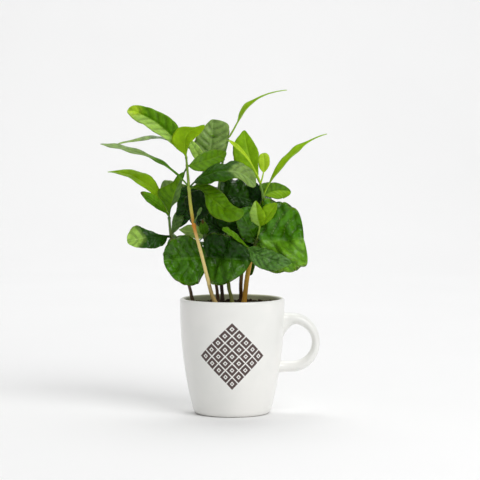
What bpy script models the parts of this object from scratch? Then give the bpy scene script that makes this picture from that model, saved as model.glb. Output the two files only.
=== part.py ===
"""Potted coffee plant: seven seedlings from one clump, growing in a white ceramic mug.

The origin is the middle of the mug's flat underside. X runs to the mug's handle, Y to the back, Z up.
Sizes are in millimetres and become metres where a mesh is made.
"""

import math

import bmesh
import bpy
from mathutils import Matrix, Vector

MM = 0.001
GAP = 0.3

# Mug: a turned ceramic cup with a ring handle at +X
MUG_HEIGHT = 95.0
RIM_RADIUS = 43.1
FOOT_DRAW_IN = 11.6
FOOT_CURVE = 2.2
WALL = 3.5
FLOOR = 5.0
BASE_RADIUS = 29.0
FOOT_ROUNDING = 3.0
MUG_SIDES = 28
HANDLE_CENTRE_X = 49.0
HANDLE_CENTRE_Z = 58.5
HANDLE_RADIUS = 20.0
HANDLE_DEPTH = 7.5
HANDLE_WIDTH = 12.5
HANDLE_SIDES = 10
HANDLE_ARC_STEPS = 8

# Potting soil, filled to just under the rim
SOIL_TOP = 90.0

# Stems and leaves
STEM_SIDES = 8
STEM_STEP = 15.0
LEAF_THICKNESS = 1.5
PETIOLE_HALF_WIDTH = 0.9
LEAF_END_HALF_WIDTH = 0.7
NARROW_LEAF = 19.5
BLADE_ROWS = 6
NARROW_BLADE_ROWS = 5
HUB_RADIUS = 2.9

# Each stem runs from the soil through its joints: (x, y, z, radius)
STEMS = {
    "stem_front": [
        (-12.6, -14, 90, 2.6), (-16.2, -16, 98, 2.0), (-20.2, -20, 114, 1.9), (-25.2, -24, 136, 1.8),
        (-29.2, -26, 156, 1.75), (-32.4, -25, 173, 1.5), (-34.2, -24, 187, 1.3), (-36.2, -22, 203, 0.95),
        (-37.2, -21, 211, 0.8),
    ],
    "stem_left": [
        (-32.2, 6, 90, 1.8), (-33.6, 5, 96, 1.4), (-35.4, 4, 104, 1.3), (-41.3, 2, 120, 1.25),
        (-47, 0, 135, 1.2), (-50.2, -1, 145.5, 1.2), (-51.8, -2, 161, 1.0),
    ],
    "stem_inner": [
        (-11.5, 8, 90, 1.8), (-12.2, 7.5, 97, 1.4), (-13.3, 6, 105.5, 1.3), (-17.4, 0, 121, 1.3),
        (-21, -6, 130, 1.3), (-22.6, -1, 146.5, 1.2), (-23.6, 2, 163, 1.1), (-23.6, 4, 186, 1.0),
        (-20.5, 7, 201, 0.8),
    ],
    "stem_tall": [
        (-8.2, 20, 90, 2.0), (-8.4, 20, 97, 1.5), (-9, 20, 104, 1.5), (-11, 18, 142, 1.4),
        (-12, 16, 175, 1.3), (-11.2, 16, 184, 1.2), (-8.5, 14, 204, 1.0), (-3.5, 12, 225, 0.8),
    ],
    "stem_centre": [
        (0.2, 0, 90, 2.0), (-1.1, 0, 97, 1.5), (-2.9, 0, 104.5, 1.5), (-4.3, 4, 124.5, 1.4),
        (-3.5, 8, 146.5, 1.3), (-1.9, 10, 164, 1.0),
    ],
    "stem_short": [
        (7, 5, 90, 2.0), (7.2, 3, 97, 1.6), (7.2, -5, 109, 1.5), (9, -12, 124.5, 1.4), (13.2, -15, 136.5, 1.2),
    ],
    "stem_right": [
        (9.4, -4, 90, 2.8), (10.4, -4.6, 97, 2.2), (12.6, -6, 114.5, 2.1), (16.2, -6.5, 131, 2.0),
        (20.3, -7, 142.5, 1.9), (22.8, -4, 158, 1.6), (24.9, -2, 172, 1.3), (25.4, -1, 178.5, 1.2),
        (23.2, -1, 188, 0.8),
    ],
}
STEM_COLOURS = {
    "stem_front": (0.62, 0.44, 0.20),
    "stem_left": (0.16, 0.10, 0.05),
    "stem_inner": (0.20, 0.12, 0.06),
    "stem_tall": (0.12, 0.08, 0.05),
    "stem_centre": (0.16, 0.24, 0.06),
    "stem_short": (0.22, 0.14, 0.07),
    "stem_right": (0.60, 0.34, 0.10),
}

YOUNG_GREEN = (0.20, 0.42, 0.02)
MID_GREEN = (0.07, 0.23, 0.02)
DARK_GREEN = (0.02, 0.11, 0.015)


def leaf(tip, width, face, **shape):
    """One leaf: its point, its width, the way its upper side looks, and how it bends."""
    return dict(tip=tip, width=width, face=face, **shape)


# Masses of foliage: the leaves that spring from one joint of a stem, with the joint they share.
# arch: rise of the midrib over its chord; sway: the same sideways; stalk: bare share of the length;
# fold: each half's angle to the blade; twist: turn from foot to point; lop: one half wider; cup and
# wave: droop and waviness of the edges; peak: under 1 the blade is widest near its foot.
MASSES = {
    "foliage_front_top": dict(joint=(-37.2, -21, 211.5), colour=YOUNG_GREEN, leaves=[
        leaf((-85, -6, 248), 21, (0.2, -1, 0.7), arch=0.13, fold=10, stalk=0.03, blunt=True, twist=-10),
        leaf((-22, -36, 237), 42, (-0.75, -0.6, 0.35), fold=30, stalk=0.10, sway=-0.05, peak=0.6),
    ]),
    "foliage_front_upper": dict(joint=(-36, -22, 204), colour=MID_GREEN, leaves=[
        leaf((-5, 2, 215), 15, (-0.1, -1, 0.7), arch=0.03, fold=8, stalk=0.10, sway=-0.05, broad=True),
        leaf((-54, -3, 184), 10, (-0.2, -1, 0.3), stalk=0.3),
    ]),
    "foliage_front_middle": dict(joint=(-34.2, -24, 186.5), colour=MID_GREEN, leaves=[
        leaf((-107, -16, 222), 17, (-0.1, -0.1, 1), arch=0.12, fold=8, stalk=0.08, wave=0.16),
        leaf((20, -34, 189), 27, (0, -0.8, 1), arch=0.21, fold=8, stalk=0.10, cup=0.2, broad=True),
        leaf((8, -46, 170), 24, (0.3, -1, 0.5), arch=0.05, fold=6, stalk=0.12, sway=-0.14, broad=True),
    ]),
    "foliage_left_top": dict(joint=(-51.8, -2, 162), colour=YOUNG_GREEN, leaves=[
        leaf((-102, -8, 199), 16, (-0.1, -0.6, 1), arch=0.24, fold=8, stalk=0.12),
        leaf((-74, -26, 183), 13, (-0.2, -1, 0.5), arch=0.12, fold=10, stalk=0.15),
        leaf((-42, 3, 189), 22, (-0.1, -1, 0.3), arch=0.02, fold=20, stalk=0.2, sway=0.05, broad=True),
        leaf((-70, 38, 176), 20, (-0.3, 0.4, 1), arch=0.15, stalk=0.12, broad=True),
    ]),
    "foliage_left_low": dict(joint=(-50.2, -1, 145.5), colour=DARK_GREEN, leaves=[
        leaf((-85, -16, 146), 21, (0, -1, 0.3), arch=0.18, fold=5, stalk=0.12, blunt=True),
        leaf((-42, 14, 168), 14, (-0.3, -1, 0.5), stalk=0.1),
    ]),
    "foliage_inner_low": dict(joint=(-21, -6, 129.5), colour=DARK_GREEN, leaves=[
        leaf((-56, -14, 127), 43, (-0.1, -1, 0.05), seed_leaf=True, arch=0.04, fold=4, lop=0.14),
        leaf((14, -22, 128), 40, (0.1, -1, 0.1), seed_leaf=True, arch=0.05, fold=5, lop=-0.16),
    ]),
    "foliage_inner_middle": dict(joint=(-22.6, -1, 146.5), colour=MID_GREEN, leaves=[
        leaf((-44, 6, 151), 12, (0.2, 1, 0.4), arch=0.05, stalk=0.12),
        leaf((-34, 46, 134), 22, (-0.1, 0.6, 1), arch=0.04, stalk=0.1, broad=True),
    ]),
    "foliage_inner_upper": dict(joint=(-23.6, 4, 186.5), colour=DARK_GREEN, leaves=[
        leaf((-60, 28, 187), 18, (0, -0.5, 1), arch=0.05, stalk=0.1),
        leaf((-27, -4, 164), 17, (-0.2, -1, 0.3), stalk=0.1, broad=True),
    ]),
    "foliage_inner_top": dict(joint=(-20.5, 7, 202), colour=MID_GREEN, leaves=[
        leaf((-16, 9, 242), 29, (0, -1, 0.1), arch=-0.03, stalk=0.06, wave=0.1, sway=-0.02, broad=True),
        leaf((-95, 0, 221), 15, (0, -0.1, 1), arch=0.17, stalk=0.1, wave=0.15),
        leaf((-37, -2, 228), 9, (-0.3, -1, 0.3), stalk=0.1),
        leaf((-12, 48, 204), 20, (0, -0.1, 1), arch=0.1, stalk=0.1, broad=True),
    ]),
    "foliage_tall_top": dict(joint=(-3.5, 12, 226), colour=YOUNG_GREEN, leaves=[
        leaf((45, 4, 266), 14, (-0.3, -0.2, 1), arch=0.11, stalk=0.12, twist=70),
        leaf((-20, 50, 230), 22, (0, -0.2, 1), arch=0.15, stalk=0.1, broad=True),
    ]),
    "foliage_tall_middle": dict(joint=(-11.3, 16, 180), colour=DARK_GREEN, leaves=[
        leaf((20, 4, 172), 34, (0, -0.8, 1), arch=0.13, stalk=0.08, wave=0.14, broad=True),
        leaf((-34, 54, 172), 24, (0, 0.3, 1), arch=0.15, stalk=0.08, broad=True),
    ]),
    "foliage_tall_low": dict(joint=(-11, 18, 142), colour=DARK_GREEN, leaves=[
        leaf((2, 58, 150), 24, (0, -0.1, 1), arch=0.12, stalk=0.1, broad=True),
        leaf((36, 46, 148), 22, (0, 0.2, 1), arch=0.12, stalk=0.15, broad=True),
    ]),
    "foliage_centre_low": dict(joint=(-3.5, 8, 146.5), colour=DARK_GREEN, leaves=[
        leaf((-30, 12, 164), 18, (0, -1, 0.5), arch=0.03, stalk=0.1, broad=True),
        leaf((15, 19, 161), 24, (0, -1, 0.5), arch=0.08, stalk=0.1, broad=True),
    ]),
    "foliage_centre_top": dict(joint=(-1.9, 10, 165.5), colour=MID_GREEN, leaves=[
        leaf((26, 50, 178), 24, (0, 0.3, 1), arch=0.15, stalk=0.1, broad=True),
        leaf((-20, 48, 168), 22, (0, 0.5, 1), arch=0.18, stalk=0.1, broad=True),
    ]),
    "foliage_short_top": dict(joint=(13.2, -15, 137.5), colour=DARK_GREEN, leaves=[
        leaf((47, -38, 127), 19, (0, -1, 0.5), arch=0.05, stalk=0.03, sway=-0.16, broad=True),
        leaf((-8, -26, 153), 9, (0, -0.3, 1), stalk=0.2),
    ]),
    "foliage_right_low": dict(joint=(20.3, -7, 142.5), colour=DARK_GREEN, leaves=[
        leaf((60, -20, 142), 66, (0.1, -1, 0.25), seed_leaf=True, arch=0.08, fold=6, lop=-0.02),
        leaf((28, 42, 120), 28, (0, 0.7, 1), seed_leaf=True, arch=0.1),
        leaf((4, -16, 167), 23, (-0.1, -1, 0.2), sway=0.05, broad=True),
    ], shoot=dict(joint=(22.7, -16, 155.5), leaves=[
        leaf((18, -24, 177), 12, (-0.4, -1, 0.2), stalk=0.06, broad=True),
        leaf((36, -26, 174), 12, (0.3, -1, 0.3), stalk=0.06, broad=True),
    ])),
    "foliage_right_middle": dict(joint=(25.4, -1, 178.5), colour=MID_GREEN, leaves=[
        leaf((78, 4, 230), 14, (-0.1, -0.3, 1), arch=0.13, stalk=0.16, twist=20),
        leaf((48, 10, 181), 19, (0, -0.7, 1), arch=0.14, stalk=0.08, broad=True),
    ]),
    "foliage_right_top": dict(joint=(23.2, -1, 189), colour=YOUNG_GREEN, leaves=[
        leaf((10, 8, 233), 23, (-0.1, -1, 0.2), arch=-0.03, stalk=0.12, sway=0.07, broad=True),
        leaf((-3, -14, 225), 8, (0.3, -0.8, 0.6), stalk=0.12, sway=-0.05),
        leaf((27, 12, 215), 11, (-0.2, -1, 0.1), stalk=0.35, sway=-0.08, broad=True),
        leaf((42, 42, 184), 18, (0.2, 0.2, 1), arch=0.15, stalk=0.1, broad=True),
    ]),
}


def clear_scene():
    for item in list(bpy.data.objects):
        bpy.data.objects.remove(item, do_unlink=True)


def material(name, colour, roughness):
    made = bpy.data.materials.new(name)
    made.use_nodes = True
    shader = made.node_tree.nodes["Principled BSDF"]
    shader.inputs["Base Color"].default_value = (*colour, 1.0)
    shader.inputs["Roughness"].default_value = roughness
    shader.inputs["Metallic"].default_value = 0.0
    return made


def new_object(name, mesh_data, finish=None, smooth=True):
    """Puts a bmesh drawn in millimetres into the scene as an object in metres."""
    bmesh.ops.scale(mesh_data, vec=(MM, MM, MM), verts=mesh_data.verts)
    bmesh.ops.recalc_face_normals(mesh_data, faces=mesh_data.faces)
    mesh = bpy.data.meshes.new(name)
    mesh_data.to_mesh(mesh)
    mesh_data.free()
    if smooth:
        mesh.shade_smooth()
        mesh.set_sharp_from_angle(angle=math.radians(40))
    made = bpy.data.objects.new(name, mesh)
    bpy.context.scene.collection.objects.link(made)
    if finish:
        mesh.materials.append(finish)
    return made


def combine(target, other, operation):
    """Joins or cuts with another object, which stays in the scene as a hidden guide."""
    other.hide_render = True
    other.display_type = "WIRE"
    step = target.modifiers.new(other.name, "BOOLEAN")
    step.operation = operation
    step.solver = "EXACT"
    step.object = other


def loft(rings, closed_ends=True):
    """Closed skin over a row of rings that have the same number of points."""
    mesh_data = bmesh.new()
    rows = [[mesh_data.verts.new(point) for point in ring] for ring in rings]
    for lower, upper in zip(rows, rows[1:]):
        count = len(lower)
        for i in range(count):
            j = (i + 1) % count
            mesh_data.faces.new((lower[i], lower[j], upper[j], upper[i]))
    if closed_ends:
        mesh_data.faces.new(rows[0])
        mesh_data.faces.new(rows[-1])
    return mesh_data


def turned(profile, sides):
    """Turns an (x, z) outline, which starts and ends on the axis, about Z."""
    mesh_data = bmesh.new()
    line = [mesh_data.verts.new((x, 0, z)) for x, z in profile]
    edges = [mesh_data.edges.new(pair) for pair in zip(line, line[1:])]
    bmesh.ops.spin(
        mesh_data, geom=line + edges, cent=(0, 0, 0), axis=(0, 0, 1), angle=math.tau,
        steps=sides, use_duplicate=False,
    )
    bmesh.ops.remove_doubles(mesh_data, verts=mesh_data.verts, dist=0.001)
    return mesh_data


def mug_radius(z):
    """Outer radius of the mug: nearly straight above, drawn in towards the foot."""
    return RIM_RADIUS - FOOT_DRAW_IN * max(0.0, 1 - z / MUG_HEIGHT) ** FOOT_CURVE


def bore_radius(z):
    return mug_radius(z) - WALL


def mug_profile():
    outside = [(0, 0), (BASE_RADIUS, 0), (mug_radius(FOOT_ROUNDING) - 1.0, FOOT_ROUNDING * 0.3)]
    outside += [(mug_radius(z), z) for z in (FOOT_ROUNDING, 9, 20, 38, 64, MUG_HEIGHT - 1.0)]
    lip = [(RIM_RADIUS - 0.9, MUG_HEIGHT), (RIM_RADIUS - WALL + 0.9, MUG_HEIGHT)]
    inside = [(bore_radius(z), z) for z in (MUG_HEIGHT - 1.0, 64, 38, 20, 9)]
    return outside + lip + inside + [(bore_radius(FLOOR) - 1.5, FLOOR), (0, FLOOR)]


def handle_path():
    """Middle line of the handle: two short straights into the wall and half a circle between them."""
    top = HANDLE_CENTRE_Z + HANDLE_RADIUS
    bottom = HANDLE_CENTRE_Z - HANDLE_RADIUS
    path = [(Vector((mug_radius(top) - WALL * 0.6, 0, top)), 90.0)]
    for i in range(HANDLE_ARC_STEPS + 1):
        angle = 90 - 180 * i / HANDLE_ARC_STEPS
        turn = math.radians(angle)
        offset = Vector((math.cos(turn), 0, math.sin(turn))) * HANDLE_RADIUS
        path.append((Vector((HANDLE_CENTRE_X, 0, HANDLE_CENTRE_Z)) + offset, angle))
    path.append((Vector((mug_radius(bottom) - WALL * 0.6, 0, bottom)), -90.0))
    return path


def make_mug():
    mug = new_object("mug", turned(mug_profile(), MUG_SIDES), material("ceramic", (0.86, 0.86, 0.84), 0.3))
    rings = []
    for centre, angle in handle_path():
        outward = Vector((math.cos(math.radians(angle)), 0, math.sin(math.radians(angle))))
        ring = []
        for i in range(HANDLE_SIDES):
            turn = math.tau * i / HANDLE_SIDES
            radial = outward * math.cos(turn) * HANDLE_DEPTH / 2
            across = Vector((0, math.sin(turn) * HANDLE_WIDTH / 2, 0))
            ring.append(centre + radial + across)
        rings.append(ring)
    combine(mug, new_object("handle_guide", loft(rings)), "UNION")


def make_soil():
    """The ball of potting soil, clear of the bore by the standard gap."""
    sides = [(bore_radius(z) - GAP, z) for z in (9, 20, 38, 64, SOIL_TOP)]
    foot = [(0, FLOOR + GAP), (bore_radius(FLOOR) - 2.4, FLOOR + GAP)]
    new_object("soil", turned(foot + sides + [(0, SOIL_TOP)], MUG_SIDES), material("soil", (0.05, 0.03, 0.02), 0.95))


def curve_through(points, step):
    """Smooth (x, y, z, radius) samples through the joints, about one step apart."""
    samples = [Vector(points[0])]
    for i in range(len(points) - 1):
        before, start = Vector(points[max(i - 1, 0)]), Vector(points[i])
        end, after = Vector(points[i + 1]), Vector(points[min(i + 2, len(points) - 1)])
        count = max(1, round((end - start).length / step))
        for k in range(1, count + 1):
            t = k / count
            lean_in, lean_out = (end - before) / 2, (after - start) / 2
            samples.append(
                start * (2 * t**3 - 3 * t**2 + 1) + lean_in * (t**3 - 2 * t**2 + t)
                + end * (3 * t**2 - 2 * t**3) + lean_out * (t**3 - t**2)
            )
    return samples


def stem_mesh(points, swell, foot):
    """Tapered limb with a level cut at its foot; swell is added to its radius."""
    samples = curve_through(points, STEM_STEP)
    rings = []
    for i, sample in enumerate(samples):
        centre = sample.to_3d()
        ahead = samples[min(i + 1, len(samples) - 1)].to_3d()
        behind = samples[max(i - 1, 0)].to_3d()
        run = (ahead - behind).normalized() if i else Vector((0, 0, 1))
        if i == 0:
            centre.z = foot
        side = run.cross(Vector((0, 1, 0))).normalized()
        other = run.cross(side)
        radius = sample[3] + swell
        turns = [math.tau * k / STEM_SIDES for k in range(STEM_SIDES)]
        rings.append([centre + side * math.cos(a) * radius + other * math.sin(a) * radius for a in turns])
    return loft(rings)


def make_stems():
    for name, points in STEMS.items():
        finish = material(name, STEM_COLOURS[name], 0.6)
        new_object(name, stem_mesh(points, 0.0, SOIL_TOP + GAP), finish)


def blade_share(u, shape):
    """Half width of the blade at share u of its length, as a share of its greatest half width."""
    stalk = shape.get("stalk", 0.0)
    x = min(max((u - stalk) / (1 - stalk), 0.0), 1.0)
    if shape.get("seed_leaf"):
        return math.sqrt(max(0.0, 1 - (2 * x - 1) ** 2))
    if shape.get("blunt"):
        return max(0.0, math.sin(math.pi * x**1.1)) ** 0.55
    if "peak" in shape:
        return max(0.0, math.sin(math.pi * x ** shape["peak"])) ** (0.62 + 0.55 * x)
    if shape.get("broad"):
        return max(0.0, math.sin(math.pi * x**0.9)) ** (0.62 + 0.55 * x)
    return max(0.0, math.sin(math.pi * x**0.88)) ** (0.85 + 0.75 * x)


def blade_point(foot, shape, u, v):
    """Point of the blade's middle skin, u along the midrib and v from edge to edge, both sides of 0."""
    chord = Vector(shape["tip"]) - foot
    length = chord.length
    along = chord / length
    face = Vector(shape["face"])
    normal = (face - along * face.dot(along)).normalized()
    side = normal.cross(along)
    arch, sway = shape.get("arch", 0.06), shape.get("sway", 0.0)
    reach = u
    if shape.get("seed_leaf"):
        reach -= 0.32 * abs(v) ** 1.6 * math.sin(math.pi * u)
    bow = 4 * u * (1 - u)
    point = foot + length * (along * reach + normal * arch * bow + side * sway * bow)
    run = (along + (normal * arch + side * sway) * 4 * (1 - 2 * u)).normalized()
    across = normal.cross(run).normalized()
    upward = run.cross(across)
    turn = math.radians(shape.get("twist", 0)) * (u - 0.5)
    across, upward = across * math.cos(turn) + upward * math.sin(turn), upward * math.cos(turn) - across * math.sin(turn)
    sign = 1 if v >= 0 else -1
    half = max(shape["width"] / 2 * blade_share(u, shape), PETIOLE_HALF_WIDTH * (1 - u), LEAF_END_HALF_WIDTH)
    half *= 1 + shape.get("lop", 0.0) * sign
    fold = math.radians(shape.get("fold", 12))
    lift = half * abs(v) * math.sin(fold) - shape.get("cup", 0.0) * half * v * v
    lift += shape.get("wave", 0.08) * half * v * v * math.sin(6 * math.pi * u + sign * 1.1)
    return point + across * sign * half * abs(v) * math.cos(fold) + upward * lift


def leaf_pad(foot, shape):
    """Thin closed pad over one leaf's blade and stalk."""
    wide = shape["width"] > NARROW_LEAF
    rows = BLADE_ROWS if wide else NARROW_BLADE_ROWS
    columns = 4 if wide else 2
    grid = [
        [blade_point(foot, shape, i / rows, 2 * j / columns - 1) for j in range(columns + 1)]
        for i in range(rows + 1)
    ]
    mesh_data = bmesh.new()
    skins = []
    for offset in (LEAF_THICKNESS / 2, -LEAF_THICKNESS / 2):
        skin = []
        for i in range(rows + 1):
            row = []
            for j in range(columns + 1):
                ahead, behind = grid[min(i + 1, rows)][j], grid[max(i - 1, 0)][j]
                left, right = grid[i][max(j - 1, 0)], grid[i][min(j + 1, columns)]
                out = (ahead - behind).cross(right - left).normalized()
                row.append(mesh_data.verts.new(grid[i][j] + out * offset))
            skin.append(row)
        skins.append(skin)
    top, bottom = skins
    for i in range(rows):
        for j in range(columns):
            mesh_data.faces.new((top[i][j], top[i + 1][j], top[i + 1][j + 1], top[i][j + 1]))
            mesh_data.faces.new((bottom[i][j], bottom[i][j + 1], bottom[i + 1][j + 1], bottom[i + 1][j]))
    rim = [(i, 0) for i in range(rows)] + [(rows, j) for j in range(columns)]
    rim += [(i, columns) for i in range(rows, 0, -1)] + [(0, j) for j in range(columns, 0, -1)]
    for (i, j), (k, l) in zip(rim, rim[1:] + rim[:1]):
        mesh_data.faces.new((top[i][j], bottom[i][j], bottom[k][l], top[k][l]))
    return mesh_data


def hub_mesh(centre, radius):
    mesh_data = bmesh.new()
    bmesh.ops.create_icosphere(mesh_data, subdivisions=1, radius=radius, matrix=Matrix.Translation(centre))
    return mesh_data


def add_leaves(mass, name, joint, leaves):
    for number, shape in enumerate(leaves, 1):
        pad = new_object(f"{name}_leaf_{number}_guide", leaf_pad(joint, shape))
        combine(mass, pad, "UNION")


def make_mass(name, plan, stem_cutters):
    """One mass of foliage: its joint's swelling and the leaves round it, cut round the stems."""
    joint = Vector(plan["joint"])
    mass = new_object(name, hub_mesh(joint, HUB_RADIUS), material(name, plan["colour"], 0.45))
    add_leaves(mass, name, joint, plan["leaves"])
    if "shoot" in plan:
        tip = Vector(plan["shoot"]["joint"])
        limb = [(*joint, 1.2), (*(joint.lerp(tip, 0.4) + Vector((0, -3, 0))), 1.1), (*tip, 0.9)]
        combine(mass, new_object(f"{name}_shoot_guide", stem_mesh(limb, 0.0, joint.z)), "UNION")
        add_leaves(mass, f"{name}_shoot", tip, plan["shoot"]["leaves"])
    for cutter in stem_cutters:
        combine(mass, cutter, "DIFFERENCE")


def main():
    clear_scene()
    make_mug()
    make_soil()
    make_stems()
    cutters = [
        new_object(f"{name}_clearance_guide", stem_mesh(points, GAP, SOIL_TOP)) for name, points in STEMS.items()
    ]
    for name, plan in MASSES.items():
        make_mass(name, plan, cutters)


main()
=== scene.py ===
import math
import random

import bmesh
import bpy
import numpy as np
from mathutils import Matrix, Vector, noise


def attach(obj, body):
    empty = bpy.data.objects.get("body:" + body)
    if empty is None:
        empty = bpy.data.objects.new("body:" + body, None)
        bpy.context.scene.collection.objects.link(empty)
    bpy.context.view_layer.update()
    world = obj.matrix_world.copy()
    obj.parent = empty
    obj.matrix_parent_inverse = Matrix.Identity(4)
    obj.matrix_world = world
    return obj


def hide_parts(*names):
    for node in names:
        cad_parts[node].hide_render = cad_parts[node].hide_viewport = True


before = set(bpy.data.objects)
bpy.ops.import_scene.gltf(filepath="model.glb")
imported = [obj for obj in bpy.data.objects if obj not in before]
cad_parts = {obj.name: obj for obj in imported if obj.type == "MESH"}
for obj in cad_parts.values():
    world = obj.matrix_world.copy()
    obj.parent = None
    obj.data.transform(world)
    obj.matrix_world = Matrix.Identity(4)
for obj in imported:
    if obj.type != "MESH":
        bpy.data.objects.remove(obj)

bpy.ops.object.select_all(action="DESELECT")
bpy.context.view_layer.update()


# The mug is a turned cup of thick white stoneware with a satin glaze inside and out.
# Its ring handle is pulled from the same clay, flared where it is luted to the wall, and fired with it.
# The foot is ground flat, and a dark lozenge pattern is printed under the glaze at the front.
MM = 0.001
MUG_HEIGHT = 95.0
RIM_RADIUS = 43.1
FOOT_DRAW_IN = 11.6
FOOT_CURVE = 2.2
WALL = 3.5
FLOOR = 5.0
BASE_RADIUS = 29.0
MUG_SIDES = 112
LIP_STEPS = 10
HANDLE_CENTRE = (49.0, 58.5)
HANDLE_RADIUS = 20.0
HANDLE_DEPTH = 9.0
HANDLE_SLIMMING = 0.26
HANDLE_WIDTH = 12.6
HANDLE_SIDES = 36
HANDLE_ARC_STEPS = 30
FLARE_STEPS = 7
FLARE = 0.22
ARM_SWEEP = 8.5
ARM_SWEEP_END = 54.0
SMOOTH_UNDER = 38


def mug_radius(z):
    """Outer radius in millimetres at height z."""
    return RIM_RADIUS - FOOT_DRAW_IN * max(0.0, 1 - z / MUG_HEIGHT) ** FOOT_CURVE


def extruded_rings(name, rings, sides):
    """A turned shape: a circle is added and extruded up through (radius, height) rings in millimetres."""
    first_radius, first_height = rings[0]
    bpy.ops.mesh.primitive_circle_add(
        vertices=sides, radius=first_radius * MM, fill_type="NGON", location=(0, 0, first_height * MM)
    )
    made = bpy.context.object
    made.name = name
    bpy.ops.object.transform_apply(location=True)
    bpy.ops.object.mode_set(mode="EDIT")
    bpy.ops.mesh.select_all(action="SELECT")
    radius, height = first_radius, first_height
    for next_radius, next_height in rings[1:]:
        bpy.ops.mesh.extrude_region_move(TRANSFORM_OT_translate={"value": (0, 0, (next_height - height) * MM)})
        share = next_radius / radius
        bpy.ops.transform.resize(value=(share, share, 1), center_override=(0, 0, next_height * MM))
        radius, height = next_radius, next_height
    bpy.ops.mesh.select_all(action="SELECT")
    bpy.ops.mesh.normals_make_consistent(inside=False)
    bpy.ops.object.mode_set(mode="OBJECT")
    return made


def rounded_lip():
    """Rings over the rounded rim, from the outer wall to the inner one."""
    rounding = WALL / 2
    angles = [math.radians(180 * i / LIP_STEPS) for i in range(LIP_STEPS + 1)]
    return [
        (RIM_RADIUS - rounding + rounding * math.cos(angle), MUG_HEIGHT - rounding + rounding * math.sin(angle))
        for angle in angles
    ]


outer_rings = [(8.0, 0.0), (20.0, 0.0), (BASE_RADIUS - 0.6, 0.0), (BASE_RADIUS + 0.1, 0.1)]
outer_rings += [(BASE_RADIUS + 1.6, 0.7), (BASE_RADIUS + 2.5, 1.7)]
outer_rings += [(mug_radius(z), z) for z in (3.0, 5, 8, 12, 17, 23, 30, 38, 47, 56, 65, 74, 83, 90)]
inner_rings = [(mug_radius(z) - WALL, z) for z in (86, 78, 68, 56, 42, 28, 16, 9)]
inner_rings += [(mug_radius(7) - WALL - 1.5, 6.4), (mug_radius(6) - WALL - 4.0, FLOOR), (14.0, FLOOR), (6.0, FLOOR)]
mug = extruded_rings("mug_body", outer_rings + rounded_lip() + inner_rings, MUG_SIDES)

handle_x, handle_z = HANDLE_CENTRE
handle_top = handle_z + HANDLE_RADIUS
handle_foot = handle_z - HANDLE_RADIUS


def flare_stops(wall_z):
    """Places from the wall out to the ring at one height, with how much wider the clay is there."""
    wall_x = mug_radius(wall_z) - WALL * 0.55
    shares = [i / FLARE_STEPS for i in range(FLARE_STEPS + 1)]
    return [(wall_x + (handle_x - wall_x) * share, 1 + FLARE * (1 - share) ** 3) for share in shares]


def pull_arm(stops, height):
    """Extrudes the selected ring from stop to stop at one height, and widens it as the clay flares."""
    for (x, swell), (next_x, next_swell) in zip(stops, stops[1:]):
        bpy.ops.mesh.extrude_edges_move(TRANSFORM_OT_translate={"value": ((next_x - x) * MM, 0, 0)})
        share = next_swell / swell
        bpy.ops.transform.resize(value=(1, share, share), center_override=(next_x * MM, 0, height * MM))


bpy.ops.mesh.primitive_circle_add(
    vertices=HANDLE_SIDES, radius=1.0 * MM, fill_type="NOTHING", location=(0, 0, 0), rotation=(0, math.radians(90), 0)
)
handle = bpy.context.object
handle.name = "mug_handle"
bpy.ops.object.transform_apply(rotation=True)
bpy.ops.object.mode_set(mode="EDIT")
bpy.ops.mesh.select_all(action="SELECT")
top_stops = flare_stops(handle_top)
first_x, first_swell = top_stops[0]
bpy.ops.transform.resize(value=(1, HANDLE_WIDTH / 2 * first_swell, HANDLE_DEPTH / 2 * first_swell))
bpy.ops.transform.translate(value=(first_x * MM, 0, handle_top * MM))
pull_arm(top_stops, handle_top)
bpy.ops.mesh.spin(
    steps=HANDLE_ARC_STEPS, angle=-math.pi, center=(handle_x * MM, 0, handle_z * MM), axis=(0, 1, 0)
)
pull_arm(flare_stops(handle_foot)[::-1], handle_foot)
bpy.ops.mesh.select_all(action="SELECT")
bpy.ops.mesh.remove_doubles(threshold=0.00001)
bpy.ops.mesh.fill_holes(sides=0)
bpy.ops.mesh.normals_make_consistent(inside=False)
bpy.ops.object.mode_set(mode="OBJECT")
# The ring is slimmer away from the wall, and the lower side of its upper arm sweeps down to the wall
for vertex in handle.data.vertices:
    out_x, out_z = vertex.co.x / MM - handle_x, vertex.co.z / MM - handle_z
    reach = math.hypot(out_x, out_z)
    rise = reach if out_x > 0 else out_z
    inner = min(max((HANDLE_RADIUS - rise) / (HANDLE_DEPTH / 2), 0.0), 1.0)
    near_wall = max(ARM_SWEEP_END - vertex.co.x / MM, 0.0) / (ARM_SWEEP_END - RIM_RADIUS)
    if out_x > 0:
        slimmed = HANDLE_RADIUS + (reach - HANDLE_RADIUS) * (1 - HANDLE_SLIMMING * (out_x / reach) ** 2)
        vertex.co.x = (handle_x + out_x * slimmed / reach) * MM
        vertex.co.z = (handle_z + out_z * slimmed / reach) * MM
    if out_z > 0:
        vertex.co.z -= ARM_SWEEP * inner * near_wall**2 * MM
bpy.ops.object.select_all(action="DESELECT")
mug.select_set(True)
bpy.context.view_layer.objects.active = mug
joined = mug.modifiers.new("Boolean", "BOOLEAN")
joined.operation, joined.solver, joined.object = "UNION", "EXACT", handle
bpy.ops.object.modifier_apply(modifier=joined.name)
bpy.data.objects.remove(handle)
bpy.ops.object.shade_smooth_by_angle(angle=math.radians(SMOOTH_UNDER))


def paint(red, green, blue):
    """A colour read as a screen shows it, 0 to 255, as the shader's linear values."""
    def linear(value):
        share = value / 255
        return share / 12.92 if share <= 0.04045 else ((share + 0.055) / 1.055) ** 2.4
    return (linear(red), linear(green), linear(blue), 1.0)


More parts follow.
